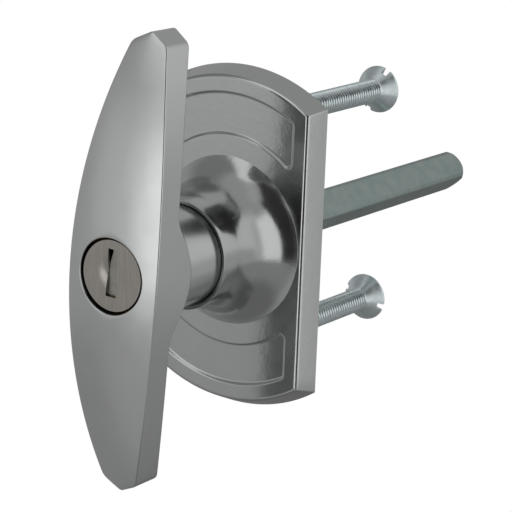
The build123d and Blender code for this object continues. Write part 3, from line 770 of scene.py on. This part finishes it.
def screwTree(form):
    tree = bpy.data.node_groups.new("slottedScrews", "GeometryNodeTree")
    tree.is_modifier = True
    tree.interface.new_socket("Geometry", in_out="OUTPUT", socket_type="NodeSocketGeometry")
    for name, value in form.items():
        kind = "NodeSocketInt" if isinstance(value, int) else "NodeSocketFloat"
        tree.interface.new_socket(name, in_out="INPUT", socket_type=kind).default_value = value
    tree.interface.new_socket("finish", in_out="INPUT", socket_type="NodeSocketMaterial")
    size = addNode(tree, "NodeGroupInput").outputs

    # a blank along Z, whose every point then takes its radius from its height and direction
    blank = addNode(tree, "GeometryNodeMeshCylinder", {"fill_type": "NGON"}, {
        "Vertices": size["around"], "Side Segments": size["rings"],
        "Radius": 1.0, "Depth": size["length"],
    })
    place = addNode(tree, "GeometryNodeInputPosition").outputs[0]
    parts = addNode(tree, "ShaderNodeSeparateXYZ", inputs={"Vector": place}).outputs
    index = addNode(tree, "GeometryNodeInputIndex").outputs[0]
    values = {name: size[name] for name in form}
    values.update(X=parts["X"], Y=parts["Y"], Z=parts["Z"], index=index)
    # each line names a value, how it is worked out, and from what
    sums = (
        ("halfLength", "MULTIPLY", "length", 0.5),
        ("along", "ADD", "Z", "halfLength"),
        ("belowHead", "SUBTRACT", "along", "length"),
        ("direction", "ARCTAN2", "Y", "X"),
        ("turn", "DIVIDE", "direction", 2 * math.pi),
        ("turns", "DIVIDE", "along", "pitch"),
        ("climb", "SUBTRACT", "turns", "turn"),
        ("phase", "FRACT", "climb"),
        ("swing", "MULTIPLY_ADD", "phase", 2.0, -1.0),  # from -1 to 1 over one turn of the thread
        ("slope", "ABSOLUTE", "swing"),
        ("wave", "SUBTRACT", 1.0, "slope"),
        ("crestShare", "DIVIDE", "crest", "pitch"),
        ("flankShare", "SUBTRACT", 1.0, "crestShare"),
        ("steep", "DIVIDE", "wave", "flankShare"),
        ("share", "MINIMUM", "steep", 1.0),
        ("depth", "SUBTRACT", "threadRadius", "coreRadius"),
        ("fullThread", "MULTIPLY_ADD", "depth", "share", "coreRadius"),
        ("tipCone", "ADD", "coreRadius", "along"),
        ("thread", "MINIMUM", "fullThread", "tipCone"),
        ("shoulder", "SUBTRACT", "length", "headLand"),
        ("underHead", "SUBTRACT", "shoulder", "along"),
        ("coneDepth", "MAXIMUM", "underHead", 0.0),
        ("cone", "SUBTRACT", "headRadius", "coneDepth"),
        ("bevelStart", "SUBTRACT", "length", "rimBevel"),
        ("aboveBevel", "SUBTRACT", "along", "bevelStart"),
        ("bevel", "MAXIMUM", "aboveBevel", 0.0),
        ("outer", "MAXIMUM", "thread", "cone"),
        ("radius", "SUBTRACT", "outer", "bevel"),
        ("across", "MULTIPLY", "X", "radius"),
        ("up", "MULTIPLY", "Y", "radius"),
        ("slotLength", "MULTIPLY", "headRadius", 3.0),  # the cutting bar reaches past the head
        ("slotHeight", "MULTIPLY", "slotDepth", 2.0),  # and half of it stands above the head
        ("upperSide", "MULTIPLY", "spacing", 0.5),
        ("lowerSide", "MULTIPLY", "spacing", -0.5),
        ("turnStep", "SUBTRACT", "lowerTurn", "upperTurn"),
        ("slotTurn", "MULTIPLY_ADD", "index", "turnStep", "upperTurn"),
        ("slotAngle", "RADIANS", "slotTurn"),
        ("slotAcross", "SINE", "slotAngle"),
        ("slotUp", "COSINE", "slotAngle"),
    )
    for name, operation, *inputs in sums:
        values[name] = addNode(tree, "ShaderNodeMath", {"operation": operation}, {
            socket: values.get(value, value) for socket, value in enumerate(inputs)
        }).outputs[0]
    vectors = {}
    for name, *inputs in (
        ("shapedPoint", "across", "up", "belowHead"),
        ("slotSize", "slotLength", "slotWidth", "slotHeight"),
        ("upperPlace", 0.0, "upperHead", "upperSide"),
        ("lowerPlace", 0.0, "lowerHead", "lowerSide"),
        ("slotWay", "slotAcross", 0.0, "slotUp"),
    ):
        vectors[name] = addNode(tree, "ShaderNodeCombineXYZ", inputs={
            axis: values.get(value, value) for axis, value in zip("XYZ", inputs)
        }).outputs[0]
    shaped = addNode(tree, "GeometryNodeSetPosition", inputs={
        "Geometry": blank.outputs["Mesh"], "Position": vectors["shapedPoint"],
    })
    bar = addNode(tree, "GeometryNodeMeshCube", inputs={"Size": vectors["slotSize"]})
    cutting = {"operation": "DIFFERENCE", "solver": "EXACT"}
    slotted = addNode(tree, "GeometryNodeMeshBoolean", cutting, {
        "Mesh 1": shaped.outputs["Geometry"], "Mesh 2": bar.outputs["Mesh"],
    })

    # one screw in each boss, its slot turned as it was left
    heads = addNode(tree, "GeometryNodeMeshLine", {"mode": "END_POINTS"}, {
        "Count": 2, "Start Location": vectors["upperPlace"], "Offset": vectors["lowerPlace"],
    })
    axes = {"primary_axis": "Z", "secondary_axis": "X"}
    pointing = addNode(tree, "FunctionNodeAxesToRotation", axes, {
        "Primary Axis": (0, 1, 0), "Secondary Axis": vectors["slotWay"],
    })
    placed = addNode(tree, "GeometryNodeInstanceOnPoints", inputs={
        "Points": heads.outputs["Mesh"], "Instance": slotted.outputs["Mesh"],
        "Rotation": pointing.outputs["Rotation"],
    })
    real = addNode(tree, "GeometryNodeRealizeInstances", inputs={
        "Geometry": placed.outputs["Instances"],
    })
    metres = addNode(tree, "GeometryNodeTransform", inputs={
        "Geometry": real.outputs["Geometry"], "Scale": (mm, mm, mm),
    })
    finished = addNode(tree, "GeometryNodeSetMaterial", inputs={
        "Geometry": metres.outputs["Geometry"], "Material": size["finish"],
    })
    addNode(tree, "NodeGroupOutput", inputs={"Geometry": finished.outputs["Geometry"]})
    return tree


def buildScrews(form, material):
    screws = bpy.data.objects.new("fixingScrewPair", bpy.data.meshes.new("fixingScrewPair"))
    bpy.context.scene.collection.objects.link(screws)
    maker = screws.modifiers.new("screws", "NODES")
    maker.node_group = screwTree(form)
    items = maker.node_group.interface.items_tree
    sockets = {item.name: item.identifier for item in items if item.in_out == "INPUT"}
    for name, value in form.items():
        maker[sockets[name]] = value
    maker[sockets["finish"]] = material
    applyModifiers(screws)
    screws.data.polygons.foreach_set("use_smooth", [True] * len(screws.data.polygons))
    screws.data.set_sharp_from_angle(angle=math.radians(threadCrease))
    return screws


# Finishes. Each pattern's spacing and depth is in millimetres.
def newFinish(name):
    material = bpy.data.materials.new(name)
    material.use_nodes = True
    tree = material.node_tree
    tree.nodes.clear()
    place = addNode(tree, "ShaderNodeTexCoord").outputs["Object"]
    return material, tree, place


def patternOf(tree, place, spacing, stretch=(1, 1, 1), detail=2.0):
    # noise whose features are about one spacing across, drawn out along an axis by its stretch
    scale = [1 / (spacing * mm * part) for part in stretch]
    drawn = addNode(tree, "ShaderNodeMapping", inputs={"Vector": place, "Scale": scale})
    return addNode(tree, "ShaderNodeTexNoise", inputs={
        "Vector": drawn.outputs["Vector"], "Scale": 1.0, "Detail": detail,
    }).outputs["Fac"]


noiseRange = (0.3, 0.7)  # the pattern seldom goes beyond these


def cloudedBetween(tree, place, low, high, spacing, stretch=(1, 1, 1), detail=2.0):
    # a value that drifts between two limits over the surface
    return addNode(tree, "ShaderNodeMapRange", inputs={
        "Value": patternOf(tree, place, spacing, stretch, detail),
        "From Min": noiseRange[0], "From Max": noiseRange[1], "To Min": low, "To Max": high,
    }).outputs["Result"]


def reliefOn(tree, place, depth, spacing, stretch=(1, 1, 1), detail=2.0, under=(0, 0, 0)):
    # a surface raised and sunk by the pattern, on top of the relief under it
    pattern = patternOf(tree, place, spacing, stretch, detail)
    return addNode(tree, "ShaderNodeBump", inputs={
        "Height": pattern, "Distance": depth * mm, "Normal": under,
    }).outputs["Normal"]


def blotched(tree, place, colours, spacing, stretch=(1, 1, 1)):
    # One colour clouding over into the other. The Mix node takes colours in its sockets 6 and 7
    # and gives their mix in its output 2.
    share = cloudedBetween(tree, place, low=0, high=1, spacing=spacing, stretch=stretch, detail=3.0)
    first, second = [linear(colour) for colour in colours]
    mixed = addNode(tree, "ShaderNodeMix", {"data_type": "RGBA"}, {0: share, 6: first, 7: second})
    return mixed.outputs[2]


def metalOutput(tree, colour, roughness, normal):
    shader = addNode(tree, "ShaderNodeBsdfPrincipled", inputs={
        "Base Color": colour, "Metallic": 1.0, "Roughness": roughness, "Normal": normal,
    })
    addNode(tree, "ShaderNodeOutputMaterial", inputs={"Surface": shader.outputs["BSDF"]})


def brightChromeOnZinc():
    # bright chrome plate on die-cast zinc, wheel polished before plating: a near mirror with a
    # faint orange-peel waviness and a fine grain
    material, tree, place = newFinish("brightChromeOnZinc")
    waves = reliefOn(tree, place, depth=0.02, spacing=2.4, detail=1.0)
    grain = reliefOn(tree, place, depth=0.012, spacing=0.6, under=waves)
    rough = cloudedBetween(tree, place, low=0.13, high=0.18, spacing=7.0)
    metalOutput(tree, linear("#bcbebd"), roughness=rough, normal=grain)
    return material


def satinChromeOnZinc():
    # chrome plate over a casting that was only buffed: soft reflections, drawn across the fine
    # buffing lines, which run from side to side of the grip. Real ones lie about 0.07 mm apart,
    # and are drawn coarser so that they show.
    material, tree, place = newFinish("satinChromeOnZinc")
    lines = reliefOn(tree, place, depth=0.0022, spacing=0.28, stretch=(14, 14, 1), detail=3.0)
    waves = reliefOn(
        tree, place, depth=0.11, spacing=9.0, stretch=(1, 1, 1.6), detail=1.0, under=lines,
    )
    rough = cloudedBetween(tree, place, low=0.20, high=0.27, spacing=6.0)
    metalOutput(tree, linear("#c6c8c7"), roughness=rough, normal=waves)
    return material


def brushedStainless():
    # stainless sheet, brushed along the key slot with a 180 grit belt, whose lines of 0.08 mm are
    # drawn a little coarser so that they show
    material, tree, place = newFinish("brushedStainless")
    lines = reliefOn(tree, place, depth=0.0022, spacing=0.12, stretch=(1, 1, 30), detail=3.0)
    colour = blotched(tree, place, ("#aba7a1", "#9f9b95"), spacing=0.3, stretch=(1, 1, 14))
    metalOutput(tree, colour, roughness=0.27, normal=lines)
    return material


def coatedSteel(name, colours, roughness=0.34, spacing=3.0):
    # Steel with a thin coat or a worn skin: fine grained, its colour and its gloss clouding over.
    # The real grain is too fine to show and is drawn coarser.
    material, tree, place = newFinish(name)
    colour = blotched(tree, place, colours, spacing)
    grain = reliefOn(tree, place, depth=0.003, spacing=0.3)
    rough = cloudedBetween(tree, place, low=roughness - 0.05, high=roughness + 0.07, spacing=1.6)
    metalOutput(tree, colour, roughness=rough, normal=grain)
    return material


def turnedBrass(name, colours):
    # brass bar turned on a lathe: rings of tool marks about the cylinder's axis, 0.2 mm apart
    material, tree, place = newFinish(name)
    colour = blotched(tree, place, colours, spacing=2.5)
    marks = reliefOn(tree, place, depth=0.003, spacing=0.2, stretch=(20, 1, 20))
    metalOutput(tree, colour, roughness=0.3, normal=marks)
    return material


def springWire():
    # drawn stainless wire: a soft shine with hardly any grain
    material, tree, place = newFinish("stainlessSpringWire")
    colour = blotched(tree, place, ("#b4b3ae", "#9a9a96"), spacing=0.8)
    grain = reliefOn(tree, place, depth=0.001, spacing=0.1)
    metalOutput(tree, colour, roughness=0.25, normal=grain)
    return material


def castZinc(name, colours):
    # zinc alloy as it left the die: matt, with a cloudy skin
    material, tree, place = newFinish(name)
    colour = blotched(tree, place, colours, spacing=2.0)
    skin = reliefOn(tree, place, depth=0.006, spacing=0.4)
    metalOutput(tree, colour, roughness=0.45, normal=skin)
    return material


platingBright = brightChromeOnZinc()
platingSatin = satinChromeOnZinc()
stainlessFace = brushedStainless()
# bright zinc plate with blue passivation: silver with a blue-green cast, clouded where it drained
barPlating = coatedSteel("zincPlatedBar", ("#93a5a3", "#a5aeaa"), roughness=0.36)
screwPlating = coatedSteel("zincPlatedScrews", ("#e4eeef", "#d6e1e3"), roughness=0.3, spacing=1.5)
washerPlating = coatedSteel("zincPlatedWasher", ("#bcc3c2", "#b3b6b0"))
# rolled strip dulled by keys, ground pins, and phosphated spring steel, which is nearly black
shutterSteel = coatedSteel("dullSteelStrip", ("#a6a59d", "#989790"), roughness=0.5, spacing=1.2)
pinSteel = coatedSteel("groundSteelPin", ("#bdbdbb", "#acacaa"), roughness=0.2, spacing=1.0)
clipSteel = coatedSteel(
    "phosphatedSpringSteel", ("#55585a", "#46484a"), roughness=0.45, spacing=1.0,
)
springSteel = springWire()
# the plug and its sleeve are brass painted darker than it is: painted shade for the gap round the face cap
shadeDarkSleeveBrass = turnedBrass("brassSleeveWithPaintedShade", ("#86734c", "#746342"))
shadeDarkPlugBrass = turnedBrass("brassPlugWithPaintedShade", ("#7d6a44", "#6a5a3c"))
waferBrass = turnedBrass("stampedBrass", ("#ccb070", "#b99a58"))
zincCam = castZinc("castZincCam", ("#a3a5a6", "#8c8e90"))
zincBolt = castZinc("castZincBolt", ("#9fa1a2", "#888a8c"))

handle.data.materials.append(platingSatin)
backplate.data.materials.append(platingBright)

screws = buildScrews(screwForm, screwPlating)
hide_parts("fixing_screws")
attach(screws, "backplate")
print("screws made:", len(screws.data.polygons), "faces")

# The small pieces keep their own shapes. Those that show get their edges eased by this much, in
# millimetres, and belong to a slot of the record.
easedEdges = {
    "plug_face_cap": (0.07, "stainless_cap"),
    "dust_shutter": (0.04, "stainless_shutter"),
    "spindle": (0.12, "zinc_plated_bar"),
    "spindle_stop_pin": (0.05, "steel_pin"),
    "thrust_washer": (0.08, "zinc_plated_washer"),
    "stem_circlip": (0.06, "spring_steel"),
}
easing = {
    "weld": 1e-6,  # in metres
    "flatWithin": 0.5,  # degrees between facets that are joined to one face
    "sharpAbove": 25,  # degrees between faces that keep a sharp edge
    "roundAbove": 40,  # degrees between faces whose edge is rounded
    "segments": 3,
}
finishes = {
    "plug_face_cap": stainlessFace,
    "dust_shutter": shutterSteel,
    "spindle": barPlating,
    "spindle_stop_pin": pinSteel,
    "thrust_washer": washerPlating,
    "stem_circlip": clipSteel,
    "cylinder_sleeve": shadeDarkSleeveBrass,
    "sleeve_pin": pinSteel,
    "lock_plug": shadeDarkPlugBrass,
    "shutter_pin": pinSteel,
    "shutter_spring": springSteel,
    "wafer_springs": springSteel,
    "plug_clip": springSteel,
    "lock_cam": zincCam,
    "locking_bolt": zincBolt,
}
for name in frame["nodes"]:
    if name.startswith("wafer_"):
        finishes.setdefault(name, waferBrass)
nodeBodies = frame["record"]["behaviour"]["bodies"]


def easeEdges(name, width, slot):
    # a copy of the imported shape, merged so that its edges can be rounded
    mesh = bmesh.new()
    mesh.from_mesh(frame["nodes"][name].data)
    bmesh.ops.remove_doubles(mesh, verts=mesh.verts, dist=easing["weld"])
    flat = math.radians(easing["flatWithin"])
    bmesh.ops.dissolve_limit(mesh, angle_limit=flat, verts=mesh.verts, edges=mesh.edges)
    piece = finishMesh(mesh, name + "Eased", easing["sharpAbove"])
    edge = piece.modifiers.new("edge", "BEVEL")
    edge.width = width * mm
    edge.segments = easing["segments"]
    edge.limit_method = "ANGLE"
    edge.angle_limit = math.radians(easing["roundAbove"])
    edge.harden_normals = True
    applyModifiers(piece)
    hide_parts(name)
    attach(piece, next(body for body, nodes in nodeBodies.items() if name in nodes))
    return piece


for name, (width, slot) in easedEdges.items():
    easeEdges(name, width, slot).data.materials.append(finishes[name])
for name, finish in finishes.items():
    if name not in easedEdges:
        for holder in frame["nodes"][name].material_slots:
            holder.material = finish
print("small pieces dressed")

# Floor and background
stageForm = {"floorHeight": -0.075, "reach": 4.0}  # in metres


def makeStage(form):
    mesh = bmesh.new()
    reach, low = form["reach"], form["floorHeight"]
    corners = ((-reach, -reach), (reach, -reach), (reach, reach), (-reach, reach))
    mesh.faces.new([mesh.verts.new((*corner, low)) for corner in corners])
    floor = finishMesh(mesh, "floor")
    # white paper lit from below, so that nothing casts a shadow on it
    material = bpy.data.materials.new("litWhitePaper")
    material.use_nodes = True
    tree = material.node_tree
    tree.nodes.clear()
    glow = addNode(tree, "ShaderNodeEmission", inputs={"Color": linear("#ffffff"), "Strength": 1.0})
    addNode(tree, "ShaderNodeOutputMaterial", inputs={"Surface": glow.outputs["Emission"]})
    floor.data.materials.append(material)
    floor.visible_glossy = False
    floor.visible_diffuse = False
    floor.visible_shadow = False
    bpy.context.scene.view_settings.view_transform = "Standard"


makeStage(stageForm)
print("stage made")

# The studio as the polished metal sees it, in soft-edged boxes, each laid over those before it.
# Each has its middle's direction round the lock and above the level, half its width, half its
# height and its soft edge, all in degrees, and its brightness.
studioBase = 0.43
studioBoxes = {
    "backLeft": (-160, -9, 40, 22, 8, 0.14),
    "front": (-36, -1, 14, 12, 5, 0.62),
    "upperLeft": (-65, 38, 45, 20, 8, 0.27),
    "strip": (-2, -8, 23, 19, 9, 1.30),
    "upperBox": (-21, 42, 19, 24, 5, 0.95),
    "overhead": (30, 66, 35, 8, 6, 0.50),
    "farRight": (125, 20, 34, 30, 12, 0.70),
    "farRightLow": (138, -19, 31, 17, 8, 0.46),
    "rightEdge": (90, 8, 16, 32, 8, 0.58),
    "right": (62, 8, 29, 32, 6, 0.97),
    "camera": (31, 10, 21, 34, 3, 0.03),
    "cameraHead": (26, 34, 27, 17, 4, 0.04),
    "table": (0, -57, 180, 34, 4, 0.32),
    "tableFront": (-12, -38, 34, 15, 10, 0.42),
    "tableBack": (-155, -42, 42, 20, 8, 0.19),
    "nadir": (0, -90, 180, 36, 12, 0.20),
}


def makeStudio(base, boxes):
    world = bpy.data.worlds.new("studio")
    bpy.context.scene.world = world
    world.use_nodes = True
    tree = world.node_tree
    tree.nodes.clear()
    way = addNode(tree, "ShaderNodeTexCoord").outputs["Generated"]
    parts = addNode(tree, "ShaderNodeSeparateXYZ", inputs={"Vector": way}).outputs
    towards = addNode(tree, "ShaderNodeMath", {"operation": "MULTIPLY"}, {0: parts["Y"], 1: -1.0})
    bearing = addNode(tree, "ShaderNodeMath", {"operation": "ARCTAN2"}, {
        0: parts["X"], 1: towards.outputs[0],
    })
    height = addNode(tree, "ShaderNodeMath", {"operation": "ARCSINE"}, {0: parts["Z"]})
    level = base
    for turn, rise, halfTurn, halfRise, soft, bright in boxes.values():
        mask = 1.0
        for angle, middle, half in ((bearing, turn, halfTurn), (height, rise, halfRise)):
            away = angle.outputs[0]
            for operation, *limits in (
                ("SUBTRACT", math.radians(middle)),
                ("WRAP", math.pi, -math.pi),
                ("ABSOLUTE",),
            ):
                inputs = dict(enumerate((away, *limits)))
                away = addNode(tree, "ShaderNodeMath", {"operation": operation}, inputs).outputs[0]
            mask = addNode(tree, "ShaderNodeMapRange", {"interpolation_type": "SMOOTHSTEP"}, {
                "Value": away,
                "From Min": math.radians(half - soft),
                "From Max": math.radians(half + soft),
                "To Min": mask,
                "To Max": 0.0,
            }).outputs["Result"]
        level = addNode(tree, "ShaderNodeMix", {"data_type": "FLOAT"}, {
            "Factor": mask, "A": level, "B": bright,
        }).outputs["Result"]
    # the camera itself sees plain white
    seen = addNode(tree, "ShaderNodeLightPath").outputs["Is Camera Ray"]
    level = addNode(tree, "ShaderNodeMix", {"data_type": "FLOAT"}, {
        "Factor": seen, "A": level, "B": 1.0,
    }).outputs["Result"]
    glow = addNode(tree, "ShaderNodeBackground", inputs={"Color": level})
    addNode(tree, "ShaderNodeOutputWorld", inputs={"Surface": glow.outputs["Background"]})


makeStudio(studioBase, studioBoxes)
print("studio made")
